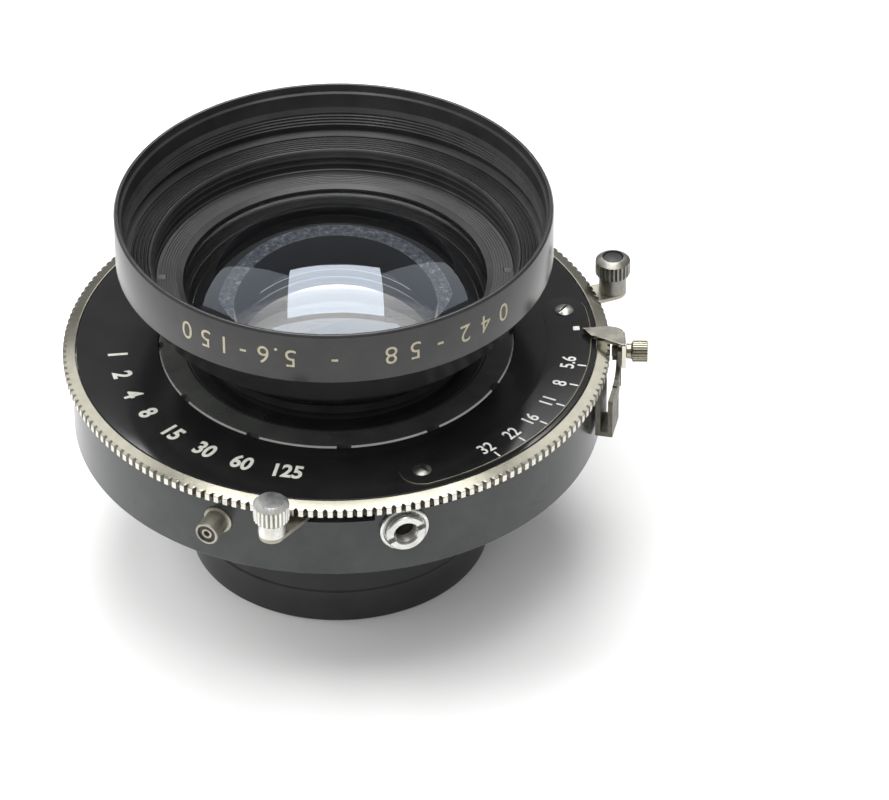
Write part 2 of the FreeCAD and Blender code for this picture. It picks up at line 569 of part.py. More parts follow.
def cable_socket():
    washer = turned([(2.15, 36.6), (3.4, 36.6), (3.4, 37.2), (3.25, 37.35), (2.95, 37.35), (2.85, 37.1),
                     (2.15, 37.1)])
    nipple = turned([(0.65, 34.6), (2.15, 34.6), (2.15, 37.1), (2.75, 37.1), (2.75, 38.1), (2.6, 38.3),
                     (1.8, 38.3), (CABLE_BORE_RADIUS, 38.1), (CABLE_BORE_RADIUS, 36.3), (1.8, 36.2), (1.8, 35.4),
                     (0.65, 35.4)])
    driver_slots = block(-0.42, 0.42, -4, 4, 37.75, 39)
    nipple = nipple.cut(spin(driver_slots, 20))
    plunger = joined([disc(0.6, 32.2, 35.6), disc(1.15, 33.7, 34.2)])
    parts["cable_release_washer"] = radial(washer, CABLE_ANGLE, CABLE_Z)
    parts["cable_release_nipple"] = radial(nipple, CABLE_ANGLE, CABLE_Z)
    parts["cable_plunger"] = radial(plunger, CABLE_ANGLE, CABLE_Z)


# ---- speed governor --------------------------------------------------------------------------------------------

def governor():
    sector_radius = GEAR_MODULE * SECTOR_TEETH / 2
    wheel_radius = GEAR_MODULE * WHEEL_TEETH / 2
    fly_radius = GEAR_MODULE * FLY_TEETH / 2
    wheel_place = polar(sector_radius + wheel_radius, WHEEL_ANGLE)
    reach = wheel_radius + fly_radius
    from_axis = sector_radius + wheel_radius
    cosine = (from_axis ** 2 + FLY_RADIUS ** 2 - reach ** 2) / (2 * from_axis * FLY_RADIUS)
    between = math.degrees(math.acos(cosine))
    fly_place = polar(FLY_RADIUS, WHEEL_ANGLE + between)
    towards = math.degrees(math.atan2(fly_place.y - wheel_place.y, fly_place.x - wheel_place.x))
    wheel_pitch = 360.0 / WHEEL_TEETH
    wheel_phase = WHEEL_ANGLE + 180 + wheel_pitch / 2
    past = (towards - wheel_phase) / wheel_pitch
    offset = (round(past) - past) * wheel_pitch
    fly_phase = towards + 180 - offset * WHEEL_TEETH / FLY_TEETH + 180.0 / FLY_TEETH
    wheel = prism(gear_corners(WHEEL_TEETH, phase=wheel_phase), GEAR_Z, GEAR_Z + GEAR_WIDTH)
    fly = prism(gear_corners(FLY_TEETH, phase=fly_phase), GEAR_Z, GEAR_Z + GEAR_WIDTH)
    wheel.translate(wheel_place)
    fly.translate(fly_place)
    fly = joined([fly, disc(2.6, GEAR_Z + GEAR_WIDTH, GEAR_Z + GEAR_WIDTH + 0.6, fly_place)])
    parts["governor_wheel"] = wheel.cut(disc(0.55, 20, 40, wheel_place))
    parts["governor_fly"] = fly.cut(disc(0.55, 20, 40, fly_place))
    arbors = []
    for place, top in ((wheel_place, 29.0), (fly_place, 29.6)):
        arbors.append(disc(0.5, MECHANISM_TOP, top, place))
    parts["governor_arbors"] = Part.makeCompound(arbors)


# ---- everything ------------------------------------------------------------------------------------------------

def build():
    parts["front_barrel"] = front_barrel()
    parts["rear_barrel"] = rear_barrel()
    glasses()
    retaining_rings()
    parts["shutter_housing"] = shutter_housing()
    case_plates()
    face_parts()
    parts["mounting_lock_ring"] = mounting_lock_ring()
    parts["speed_ring"] = speed_ring()
    blades_and_rings()
    parts["release_lever"] = release_lever()
    parts["press_focus_lever"] = press_focus_lever()
    lever_knobs()
    parts["aperture_lever"] = aperture_lever()
    parts["aperture_pointer"] = aperture_pointer()
    parts["pointer_clamp_screw"] = pointer_clamp_screw()
    sync_socket()
    cable_socket()
    governor()
    os.makedirs("parts", exist_ok=True)
    for name, shape in parts.items():
        shape.exportStep("parts/%s.step" % name)
        print("%-24s solids %d  valid %s  volume %.2f" % (name, len(shape.Solids), shape.isValid(), shape.Volume))


build()
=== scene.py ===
"""A view camera's taking lens in its leaf shutter, on a pale floor in soft studio light.

Lengths in the tables below are in millimetres, turned to metres where a mesh is made. Angles are in degrees,
counter-clockwise from +X as seen from the front of the lens.
"""
import bmesh
import bpy
import math
from mathutils import Matrix, Quaternion, Vector


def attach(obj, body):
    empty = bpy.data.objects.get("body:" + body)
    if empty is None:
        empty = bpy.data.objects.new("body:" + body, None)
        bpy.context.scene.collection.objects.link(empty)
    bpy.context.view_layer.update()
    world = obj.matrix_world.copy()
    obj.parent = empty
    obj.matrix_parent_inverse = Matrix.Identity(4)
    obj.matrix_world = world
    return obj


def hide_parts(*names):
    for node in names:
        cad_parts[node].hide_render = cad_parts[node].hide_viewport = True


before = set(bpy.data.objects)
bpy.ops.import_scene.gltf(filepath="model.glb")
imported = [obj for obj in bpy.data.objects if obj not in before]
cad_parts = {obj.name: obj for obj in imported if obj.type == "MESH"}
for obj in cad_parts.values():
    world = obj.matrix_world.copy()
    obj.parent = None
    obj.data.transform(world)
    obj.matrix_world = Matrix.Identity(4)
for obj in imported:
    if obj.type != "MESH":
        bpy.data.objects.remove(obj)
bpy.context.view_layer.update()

MM = 0.001
CASE = "shutter_case"
# The front flange and the middle of its row of numerals.
FLANGE_RADIUS = 30.0
FLANGE_TEXT_Z = 52.0
# The tops of the black face and of the aperture scale on it, and how far their numerals stand proud.
FACE_TOP = 33.2
SCALE_TOP = 33.5
LIFT = 0.01
# The rear of the front glasses: a clear middle, then a ground ring, then black paint.
REAR_FACE_Z = 32.6
CLEAR_RADIUS = 11.8
GROUND_RADIUS = 13.7
# The speed ring: the outer edge of its smooth band, the roots of its teeth and their tips.
BAND_RADIUS = 37.42
ROOT_RADIUS = 37.45
TIP_RADIUS = 37.9
# The knobs' flutes.
FLUTES = 24
FLUTE_DEPTH = 0.27
SCREW_FLUTE_DEPTH = 0.15
# The cable release's nipple points out from the lens at this angle and height.
CABLE_ANGLE = 283.4
CABLE_Z = 28.15
# Where the knobs' axes stand: distance from the lens axis, and angle.
RELEASE_KNOB_PLACE = (40.55, 256.97)
PRESS_KNOB_PLACE = (41.9, 21.3)
# The clamp screw points out from the lens at this angle and height.
CLAMP_SCREW_ANGLE = -2.9
CLAMP_SCREW_Z = 31.75


# ---- meshes --------------------------------------------------------------------------------------------

def finish_mesh(name, mesh_data, materials, smooth_angle=32.0):
    """An object from a bmesh, shaded smooth except at edges sharper than smooth_angle."""
    limit = math.radians(smooth_angle)
    for edge in mesh_data.edges:
        edge.smooth = len(edge.link_faces) == 2 and edge.calc_face_angle(0.0) < limit
    for face in mesh_data.faces:
        face.smooth = True
    mesh = bpy.data.meshes.new(name)
    mesh_data.to_mesh(mesh)
    mesh_data.free()
    made = bpy.data.objects.new(name, mesh)
    bpy.context.scene.collection.objects.link(made)
    for material in materials:
        mesh.materials.append(material)
    return made


def softened(profile, size):
    """The same closed outline with each corner off the axis turned into a small round of two facets."""
    out = []
    count = len(profile)
    for index, here in enumerate(profile):
        before = Vector(profile[index - 1])
        here = Vector(here)
        after = Vector(profile[(index + 1) % count])
        if here.x < 1e-6:
            out.append(tuple(here))
            continue
        back = before - here
        ahead = after - here
        if back.length < 1e-6 or ahead.length < 1e-6 or back.angle(ahead) > math.radians(168):
            out.append(tuple(here))
            continue
        cut = min(size, 0.3 * back.length, 0.3 * ahead.length)
        first = here + back.normalized() * cut
        last = here + ahead.normalized() * cut
        middle = (first + last) / 2 * 0.6 + here * 0.4
        out += [tuple(first), tuple(middle), tuple(last)]
    return out


def lathe(name, profile, materials, count=240, pick=None, angles=None, wave=None, smooth_angle=32.0):
    """A closed outline of (radius, z) turned about Z.

    wave(angle, r, z) may move a point, to cut teeth or notches.
    pick(r, z, normal) gives the index of a face's material.
    """
    if angles is None:
        angles = [index * 360.0 / count for index in range(count)]
    shape = bmesh.new()
    rings = []
    for angle in angles:
        turn = math.radians(angle)
        ring = []
        for r, z in profile:
            if wave:
                r, z = wave(angle, r, z)
            ring.append(shape.verts.new((r * MM * math.cos(turn), r * MM * math.sin(turn), z * MM)))
        rings.append(ring)
    size = len(profile)
    for index, ring in enumerate(rings):
        following = rings[(index + 1) % len(rings)]
        for corner in range(size):
            nearby = (corner + 1) % size
            shape.faces.new((ring[corner], following[corner], following[nearby], ring[nearby]))
    bmesh.ops.remove_doubles(shape, verts=shape.verts, dist=1e-7)
    bmesh.ops.dissolve_degenerate(shape, edges=shape.edges, dist=1e-8)
    bmesh.ops.recalc_face_normals(shape, faces=shape.faces)
    if pick:
        for face in shape.faces:
            middle = face.calc_center_median() / MM
            face.material_index = pick(math.hypot(middle.x, middle.y), middle.z, face.normal)
    return finish_mesh(name, shape, materials, smooth_angle)


def on_circle(radius, angle, centre=(0.0, 0.0)):
    """The point of a circle at an angle in degrees."""
    turn = math.radians(angle)
    return centre[0] + radius * math.cos(turn), centre[1] + radius * math.sin(turn)


def steps_with(edges):
    """Even steps round the circle, with the given angles added."""
    even = [step * 1.5 for step in range(240)]
    return sorted(set(round(angle % 360, 4) for angle in even + edges))


def arc(radius, centre_z, r_from, r_to, up, steps):
    """Points of a sphere's section between two distances from the axis. up says which half of the sphere."""
    points = []
    for step in range(steps + 1):
        r = r_from + (r_to - r_from) * step / steps
        rise = math.sqrt(radius ** 2 - r ** 2)
        points.append((r, centre_z + rise if up else centre_z - rise))
    return points


def refined(node, body, materials, bevel, pick=None):
    """A piece with the CAD node's own shape, its edges broken by a small round. It replaces the node."""
    smooth_angle = 32.0
    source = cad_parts[node]
    shape = bmesh.new()
    shape.from_mesh(source.data)
    bmesh.ops.remove_doubles(shape, verts=shape.verts, dist=2e-7)
    bmesh.ops.dissolve_limit(shape, angle_limit=math.radians(0.4), verts=shape.verts, edges=shape.edges)
    bmesh.ops.recalc_face_normals(shape, faces=shape.faces)
    for face in shape.faces:
        face.material_index = pick(face.calc_center_median() / MM) if pick else 0
    made = finish_mesh(node + "_detail", shape, materials, smooth_angle)
    if bevel:
        rounding = made.modifiers.new("broken_edges", "BEVEL")
        rounding.width = bevel * MM
        rounding.segments = 2
        rounding.limit_method = "ANGLE"
        rounding.angle_limit = math.radians(smooth_angle)
        rounding.use_clamp_overlap = True
        rounding.harden_normals = True
    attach(made, body)
    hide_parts(node)
    return made


# ---- materials -----------------------------------------------------------------------------------------

class Nodes:
    """A short way to write a material's node tree."""

    def __init__(self, name):
        self.material = bpy.data.materials.new(name)
        self.material.use_nodes = True
        self.tree = self.material.node_tree
        self.surface = self.tree.nodes["Principled BSDF"]
        self.place = self.add("ShaderNodeTexCoord").outputs["Object"]

    def add(self, kind, **settings):
        node = self.tree.nodes.new(kind)
        for key, value in settings.items():
            setattr(node, key, value)
        return node

    def join(self, source, target):
        self.tree.links.new(source, target)

    def noise(self, scale, detail=3.0, roughness=0.55, place=None):
        node = self.add("ShaderNodeTexNoise")
        self.join(place or self.place, node.inputs["Vector"])
        node.inputs["Scale"].default_value = scale
        node.inputs["Detail"].default_value = detail
        node.inputs["Roughness"].default_value = roughness
        return node.outputs["Fac"]

    def spread(self, source, low, high, start=0.3, end=0.7):
        node = self.add("ShaderNodeMapRange")
        self.join(source, node.inputs["Value"])
        for key, value in (("From Min", start), ("From Max", end), ("To Min", low), ("To Max", high)):
            node.inputs[key].default_value = value
        return node.outputs["Result"]

    def ramp(self, source, stops):
        node = self.add("ShaderNodeValToRGB")
        self.join(source, node.inputs["Fac"])
        elements = node.color_ramp.elements
        while len(elements) < len(stops):
            elements.new(0.5)
        for element, (position, colour) in zip(elements, stops):
            element.position = position
            element.color = (*colour, 1)
        return node.outputs["Color"]

    def combine(self, kind, first, second):
        node = self.add("ShaderNodeMath", operation=kind)
        for socket, value in zip(node.inputs, (first, second)):
            if isinstance(value, (int, float)):
                socket.default_value = value
            else:
                self.join(value, socket)
        return node.outputs[0]

    def bump(self, height, distance, strength=1.0, after=None):
        node = self.add("ShaderNodeBump")
        self.join(height, node.inputs["Height"])
        node.inputs["Distance"].default_value = distance
        node.inputs["Strength"].default_value = strength
        if after:
            self.join(after, node.inputs["Normal"])
        self.join(node.outputs["Normal"], self.surface.inputs["Normal"])
        return node.outputs["Normal"]

    def turning_marks(self, scale):
        """Noise that runs round the axis, as a lathe tool leaves it."""
        parts = self.add("ShaderNodeSeparateXYZ")
        self.join(self.place, parts.inputs[0])
        squares = self.combine("ADD", self.combine("MULTIPLY", parts.outputs[0], parts.outputs[0]),
                               self.combine("MULTIPLY", parts.outputs[1], parts.outputs[1]))
        across = self.combine("SQRT", squares, 0.0)
        point = self.add("ShaderNodeCombineXYZ")
        self.join(across, point.inputs[0])
        self.join(parts.outputs[2], point.inputs[2])
        return self.noise(scale, 2.0, 0.6, point.outputs[0])

    def set(self, **values):
        for key, value in values.items():
            self.surface.inputs[key.replace("_", " ")].default_value = value
        return self

    def feed(self, source, socket):
        self.join(source, self.surface.inputs[socket])


def anodised(name, dark, light, rough_low, rough_high, marks=True, specular=0.5):
    """Black anodised or enamelled metal: fine grain, faint turning marks and handling marks."""
    look = Nodes(name)
    look.set(Metallic=0.0)
    look.surface.inputs["Specular IOR Level"].default_value = specular
    look.feed(look.ramp(look.noise(260.0, 4.0), [(0.35, dark), (0.7, light)]), "Base Color")
    smears = look.noise(55.0, 5.0, 0.6)
    look.feed(look.spread(smears, rough_low, rough_high), "Roughness")
    grain = look.bump(look.noise(9000.0, 2.0), 0.000004, 0.5)
    if marks:
        look.bump(look.turning_marks(5200.0), 0.000003, 0.55, grain)
    return look.material


def plated(name, dark, light, rough_low, rough_high, scratches=0.5, metal=1.0):
    """Plated or bare metal with slight tarnish in patches and hairline scratches.

    Chalky, worn plating has metal below 1.
    """
    look = Nodes(name)
    look.set(Metallic=metal)
    look.feed(look.ramp(look.noise(420.0, 5.0, 0.62), [(0.3, dark), (0.65, light)]), "Base Color")
    look.feed(look.spread(look.noise(700.0, 4.0), rough_low, rough_high), "Roughness")
    stretched = look.add("ShaderNodeMapping")
    look.join(look.place, stretched.inputs["Vector"])
    stretched.inputs["Scale"].default_value = (14.0, 1.0, 1.0)
    stretched.inputs["Rotation"].default_value = (0.2, 0.3, 0.6)
    look.bump(look.noise(900.0, 2.0, 0.5, stretched.outputs[0]), 0.000004, scratches)
    return look.material


def filled_paint(name, dark, light):
    """Matt paint in an engraving, a little uneven."""
    look = Nodes(name)
    look.set(Roughness=0.6)
    look.feed(look.ramp(look.noise(3500.0, 3.0), [(0.3, dark), (0.6, light)]), "Base Color")
    look.bump(look.noise(12000.0, 2.0), 0.000006, 0.6)
    return look.material


def coated_glass(name, tint, haze=0.0):
    """Clear glass with a tinted reflection. haze is the share of light that dust and fogging scatter."""
    look = Nodes(name)
    look.set(IOR=1.6)
    look.surface.inputs["Transmission Weight"].default_value = 1.0 - haze
    look.surface.inputs["Specular Tint"].default_value = (*tint, 1)
    look.feed(look.ramp(look.noise(30.0, 2.0), [(0.3, (0.97,) * 3), (0.7, (1.0,) * 3)]), "Base Color")
    look.feed(look.spread(look.noise(160.0, 6.0, 0.7), 0.0, 0.012, 0.60, 0.75), "Roughness")
    return look.material


def ground_glass(name, dark, light):
    """The frosted rim of a lens element, with bright flecks."""
    look = Nodes(name)
    look.set(Roughness=0.45)
    base = look.ramp(look.noise(1500.0, 6.0, 0.75), [(0.38, dark), (0.56, light), (0.68, (0.75, 0.82, 0.92))])
    look.feed(base, "Base Color")
    look.bump(look.noise(2500.0, 5.0, 0.7), 0.00003, 0.9)
    return look.material


BLACK = anodised("black_anodised_satin", (0.021,) * 3, (0.029, 0.029, 0.028), 0.20, 0.28, specular=0.40)
# Painted shade: a darker copy of the barrel's black for its neck, which lies in the shade under the front
# flange.
NECK_SHADE_BLACK = anodised("black_anodised_neck_painted_shade", (0.007,) * 3, (0.011,) * 3, 0.20, 0.28)
BLACK_CASE = anodised("black_case_satin", (0.024, 0.026, 0.026), (0.034, 0.037, 0.037), 0.18, 0.26,
                      specular=0.42)
BLACK_INSIDE = anodised("black_inside_matt", (0.018, 0.018, 0.0185), (0.027, 0.027, 0.028), 0.28, 0.40,
                        specular=0.4)
BLACK_THREAD = anodised("black_thread_satin", (0.032, 0.032, 0.0325), (0.046, 0.046, 0.047), 0.24, 0.34)
BLACK_FACE = anodised("black_face_enamel", (0.008,) * 3, (0.011,) * 3, 0.10, 0.16, marks=False)
BLACK_REAR = anodised("black_rear_barrel", (0.013, 0.013, 0.0135), (0.019, 0.019, 0.020), 0.28, 0.38)
BLACK_GUARD = anodised("black_lock_ring", (0.034, 0.036, 0.034), (0.050, 0.053, 0.049), 0.20, 0.30)
BLACK_BLADE = anodised("blackened_blade_steel", (0.02, 0.02, 0.022), (0.04, 0.04, 0.044), 0.3, 0.45,
                       marks=False)
BLACK_PLASTIC = anodised("black_plastic", (0.012,) * 3, (0.02,) * 3, 0.4, 0.55, marks=False)
BLACK_PAINT = anodised("black_glass_rim_paint", (0.004, 0.004, 0.005), (0.008, 0.008, 0.010), 0.4, 0.5,
                       marks=False)
# Painted shade: a dark colour for the inside of the cable release's threaded hole and the thread slopes that
# face away from its mouth.
BORE_SHADE = anodised("threaded_bore_painted_shade", (0.03, 0.028, 0.025), (0.07, 0.065, 0.06), 0.35, 0.5)
NICKEL_BAND = plated("satin_nickel_band", (0.37, 0.355, 0.29), (0.42, 0.405, 0.335), 0.17, 0.21, 0.02)
# Painted highlight: a lighter copy of the band's satin nickel for the fronts of the speed ring's teeth, where
# they catch the light.
NICKEL_TEETH_LIT = plated("satin_nickel_teeth_painted_highlight", (0.58, 0.56, 0.50), (0.68, 0.66, 0.60), 0.22, 0.30, 0.05)
NICKEL_POINTER = plated("satin_nickel_pointer", (0.52, 0.50, 0.43), (0.62, 0.60, 0.52), 0.16, 0.22, 0.04)
# Painted shade: a dark copy of the nickel. It goes on the aperture lever under the speed ring and in the
# grooves of two knobs' flutes.
SHADED_NICKEL = plated("nickel_painted_shade", (0.09, 0.085, 0.068), (0.16, 0.152, 0.125), 0.40, 0.55, 0.15)
# Painted shade: a dark copy of the satin nickel for the gaps between the speed ring's teeth.
TOOTH_ROOT_SHADE = plated("tooth_root_nickel_painted_shade", (0.10, 0.095, 0.08), (0.18, 0.17, 0.15), 0.24, 0.36, 0.15)
GREY_CHROME = plated("dull_chrome", (0.27, 0.255, 0.205), (0.42, 0.40, 0.335), 0.34, 0.48, 0.12, metal=0.85)
# Painted highlight: near-white metal for the inner ring's edge, to show a bright line.
EDGE_HIGHLIGHT_METAL = plated("edge_metal_painted_highlight", (0.85, 0.86, 0.88), (0.96, 0.97, 0.98), 0.25, 0.35, 0.05)
# Painted shade: a darker copy of the knob chrome for the grooves of the release knob's flutes.
KNOB_GROOVE_SHADE = plated("knob_groove_painted_shade", (0.20, 0.19, 0.15), (0.34, 0.325, 0.27), 0.35, 0.5, 0.2)
KNOB_TOP = plated("worn_knob_top", (0.20, 0.21, 0.205), (0.48, 0.49, 0.48), 0.32, 0.48, 0.4, metal=0.9)
KNOB_GREY = plated("worn_knob_grey", (0.185, 0.18, 0.16), (0.31, 0.302, 0.27), 0.28, 0.42, 0.2)
NICKEL_SCREW = plated("tarnished_screw_nickel", (0.26, 0.245, 0.185), (0.38, 0.36, 0.28), 0.22, 0.32, 0.1)
KNOB_CHROME = plated("worn_knob_chrome", (0.50, 0.495, 0.46), (0.78, 0.775, 0.74), 0.24, 0.36, 0.2, metal=0.8)
CHROME = plated("worn_chrome", (0.46, 0.46, 0.44), (0.64, 0.64, 0.62), 0.22, 0.32, 0.15)
THREAD_CHROME = plated("dull_thread_chrome", (0.46, 0.45, 0.42), (0.64, 0.63, 0.59), 0.30, 0.42, 0.1)
SCREW_STEEL = plated("dull_screw_steel", (0.22, 0.22, 0.20), (0.36, 0.36, 0.33), 0.30, 0.40, 0.1)
STEEL = plated("bright_steel", (0.36, 0.355, 0.33), (0.52, 0.515, 0.49), 0.16, 0.24, 0.1)
BRASS = plated("machined_brass", (0.52, 0.40, 0.20), (0.66, 0.53, 0.29), 0.24, 0.36, 0.4)
BARE = plated("bare_worn_edge", (0.72, 0.72, 0.70), (0.90, 0.90, 0.88), 0.18, 0.30, 0.4)
# Painted highlight: bronze only on the scale plate's sides that face the light.
SCALE_EDGE_LIT = plated("bronze_edge_painted_highlight", (0.24, 0.22, 0.17), (0.38, 0.35, 0.27), 0.3, 0.45, 0.4)
CREAM = filled_paint("cream_numerals", (0.40, 0.40, 0.36), (0.52, 0.52, 0.47))
WHITE = filled_paint("white_numerals", (0.56, 0.56, 0.54), (0.70, 0.70, 0.68))
GOLD = filled_paint("gold_numerals", (0.30, 0.27, 0.19), (0.44, 0.40, 0.29))
GLASS_FRONT = coated_glass("coated_front_glass", (0.72, 0.84, 1.0))
GLASS_INNER = coated_glass("coated_inner_glass", (0.70, 0.80, 0.95))
GLASS_HAZY = coated_glass("hazy_inner_glass", (0.70, 0.80, 0.95), haze=0.18)
GLASS_EDGE = ground_glass("ground_glass_edge", (0.09, 0.10, 0.125), (0.24, 0.27, 0.33))


# ---- lens cells ----------------------------------------------------------------------------------------

def thread(radius, deep, top, bottom, pitch):
    """The zigzag of an internal thread, from top to bottom."""
    points = []
    turns = int((top - bottom) / pitch)
    for turn in range(turns):
        z = top - turn * pitch
        points += [(radius, z), (radius, z - pitch * 0.15), (deep, z - pitch * 0.5), (deep, z - pitch * 0.62)]
    return points


def ribs(count, r, step, points):
    """Equal ridges side by side, each a step nearer the axis. points are the outline of one."""
    return [(r - step * number + across, z) for number in range(count) for across, z in points]


def front_barrel():
    """The front cell's barrel: screw thread, cone, filter flange, and the ridged funnel inside it."""
    outline = [
        (16.5, 28.0), (19.65, 28.0), (19.95, 28.3), (19.95, 32.6), (20.95, 32.6), (20.95, 33.25),
        (20.85, 33.35), (18.3, 33.35), (18.3, 34.6), (19.0, 34.8), (19.0, 36.0), (26.2, 42.6), (26.2, 46.2),
        (28.8, 47.4), (29.7, 48.0), (FLANGE_RADIUS, 48.3), (FLANGE_RADIUS, 55.6), (29.75, 55.9), (29.4, 55.9),
        (29.35, 54.8), (28.95, 54.6), (28.95, 52.4)]
    outline += thread(28.6, 28.93, 51.7, 49.2, 0.5)
    outline += [(29.1, 48.9), (29.1, 48.4), (28.3, 47.9)]
    outline += ribs(5, 27.95, 0.5, ((0, 47.9), (-0.12, 47.72), (-0.28, 47.72), (-0.4, 47.9)))
    outline += [(25.2, 47.9), (24.9, 47.6)]
    for z in (46.9, 45.8):
        outline += [(24.9, z), (24.8, z - 0.1), (24.8, z - 0.4), (24.9, z - 0.5)]
    outline += [
        (24.9, 44.7), (24.7, 44.6), (24.7, 43.7), (21.5, 43.7), (21.5, 41.35), (17.3, 41.35), (15.7, 41.1),
        (15.7, 32.55), (14.6, 32.55), (14.6, 31.35), (15.6, 31.0), (16.5, 31.0)]
    finishes = [BLACK, BLACK_INSIDE, NECK_SHADE_BLACK, BLACK_THREAD]

    def finish_at(r, z, normal):
        if r > 29.2 and z > 47.9:
            return finishes.index(BLACK)
        if r > 27.8 and 48.9 < z < 52.5:
            return finishes.index(BLACK_THREAD)
        # The neck under the flange gets the darker black, painted shade.
        neck = r > 25.1 or z < 43.6 and r > 21.6 or z < 34.5 and r > 17.4
        return finishes.index(NECK_SHADE_BLACK if z < 47.9 and neck else BLACK_INSIDE)

    barrel = lathe("front_lens_barrel", softened(outline, 0.06), finishes, 360, finish_at)
    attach(barrel, CASE)
    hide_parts("front_barrel")


def rear_barrel():
    """The rear cell's barrel, with a plain step at its foot for a slip-on cap."""
    outline = [
        (19.4, 0.3), (19.7, 0.0), (20.7, 0.0), (21.0, 0.3), (21.0, 5.1), (20.75, 5.35), (20.75, 13.0),
        (21.0, 13.3), (21.0, 16.6), (17.95, 16.6), (17.95, 21.1), (17.65, 21.4), (15.5, 21.4), (15.5, 18.0),
        (14.6, 18.0), (14.6, 14.6), (17.6, 14.6), (17.6, 4.95), (18.7, 4.95), (18.7, 3.4), (19.4, 3.2)]
    barrel = lathe("rear_lens_barrel", softened(outline, 0.08), [BLACK_REAR], 300)
    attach(barrel, CASE)
    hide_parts("rear_barrel")


def lens_glasses():
    """Each bonded pair is one clear solid, so that the cement doesn't show. The rims are painted black."""
    front = arc(45, 3.8, 0, 21.4, True, 36)
    front += [(21.4, 42.3), (17.2, 41.5), (15.6, 41.3), (15.6, REAR_FACE_Z), (13.75, REAR_FACE_Z)]
    front += arc(34, 0.7, 11.77, 0, True, 30)
    rear = arc(50, 52.2, 0, 17.5, False, 30) + [(17.5, 7.9), (17.4, 14.5)]
    rear += arc(40, 51.4, 15.4, 0, False, 28)
    inner_front = arc(40, -6.0, 0, 16.4, True, 30) + arc(60, -29.0, 16.4, 0, True, 26)
    inner_rear = arc(38, 53.2, 0, 15.4, False, 30) + arc(55, 73.0, 15.4, 0, False, 26)
    rows = (
        ("front_lens_group", front, GLASS_FRONT, ("front_glass", "front_bonded_glass")),
        ("front_inner_lens", inner_front, GLASS_HAZY, ("front_inner_glass",)),
        ("rear_inner_lens", inner_rear, GLASS_INNER, ("rear_inner_glass",)),
        ("rear_lens_group", rear, GLASS_FRONT, ("rear_glass", "rear_bonded_glass")))
    for name, outline, glass, nodes in rows:
        widest = max(r for r, z in outline)

        def side(r, z, normal, widest=widest, front=name == "front_lens_group"):
            if front and CLEAR_RADIUS < r < GROUND_RADIUS and abs(z - REAR_FACE_Z) < 0.05:
                return 1
            rim = abs(normal.z) < 0.35 and r > 0.7 * widest
            return 2 if rim or front and r > GROUND_RADIUS and z < 42.4 else 0
        piece = lathe(name, outline, [glass, GLASS_EDGE, BLACK_PAINT], 160, side)
        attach(piece, CASE)
        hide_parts(*nodes)


def inner_ring():
    """The ring behind the front cell's inner lens. Its inner edge is near-white metal, a painted highlight
    that shows as a thin bright line.
    """
    outline = [(14.8, 28.05), (16.45, 28.05), (16.45, 28.65), (15.08, 28.65), (14.8, 28.37)]

    def inner_edge(r, z, normal):
        # The inner top edge gets the near-white metal, a painted highlight.
        return 1 if r < 15.0 and z > 28.4 else 0
    ring = lathe("front_inner_ring_detail", outline, [BLACK_INSIDE, EDGE_HIGHLIGHT_METAL], 200, inner_edge)
    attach(ring, CASE)
    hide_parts("front_inner_ring")


def retaining_ring():
    """The ring over the front glass, its top turned in fine grooves, with two spanner slots."""
    top = [(24.65, 44.5), (24.5, 44.6)]
    r = 24.2
    while r > 21.9:
        z = 44.6 - (24.5 - r) * 0.055
        top += [(r, z), (r - 0.12, z - 0.055), (r - 0.2, z - 0.055)]
        r -= 0.36
    outline = [(20.9, 43.7), (24.65, 43.7)] + top + [(21.7, 44.45), (20.9, 44.05)]
    half = math.degrees(0.5 / 24)
    edges = [a + side * (half + gap) for a in (0.0, 180.0) for side in (-1, 1) for gap in (0.0, 0.05)]

    def slot(angle, r, z):
        away = min(abs(angle - a) for a in (0.0, 180.0, 360.0))
        return (r, min(z, 44.2)) if away <= half and r > 23.2 else (r, z)
    ring = lathe("front_glass_ring", outline, [BLACK_INSIDE], angles=steps_with(edges), wave=slot)
    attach(ring, CASE)
    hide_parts("front_retaining_ring")


# ---- shutter face --------------------------------------------------------------------------------------

def face_plate():
    """The black enamelled disc that carries the speeds, with a well in its middle for the lock ring."""
    outline = [
        (22.6, 32.1), (36.0, 32.1), (36.0, FACE_TOP - 0.06), (35.94, FACE_TOP), (24.7, FACE_TOP),
        (24.7, 32.4), (22.6, 32.4)]
    face = lathe("shutter_face", softened(outline, 0.03), [BLACK_FACE], 300)
    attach(face, CASE)
    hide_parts("face_plate")


def lock_ring():
    """The notched ring nut round the front cell. Its outer edge is worn to bare metal."""
    half = math.degrees(1.0 / 24.6)
    centres = [1.7 + 30 * place for place in range(-1, 13)]
    outline = [
        (22.0, 32.4), (24.6, 32.4), (24.6, 32.64), (24.6, 32.66), (24.6, 33.13), (24.42, 33.35),
        (24.2, 33.37), (23.95, 33.35), (21.15, 33.35), (21.02, 33.23), (21.02, 32.65), (22.0, 32.65)]
    edges = [centre + side * (half + gap) for centre in centres for side in (-1, 1) for gap in (0.0, 0.12)]

    def notch(angle, r, z):
        away = min(abs(angle - c) for c in centres)
        if away <= half and z > 32.65 and r > 23.95:
            return 23.95, z
        return r, z

    def worn(r, z, normal):
        return 1 if r > 24.25 and z > 33.1 and 0.1 < normal.z < 0.97 else 0
    ring = lathe("face_lock_nut", outline, [BLACK_GUARD, BARE], angles=steps_with(edges), wave=notch,
                 pick=worn)
    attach(ring, CASE)
    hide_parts("face_lock_ring")


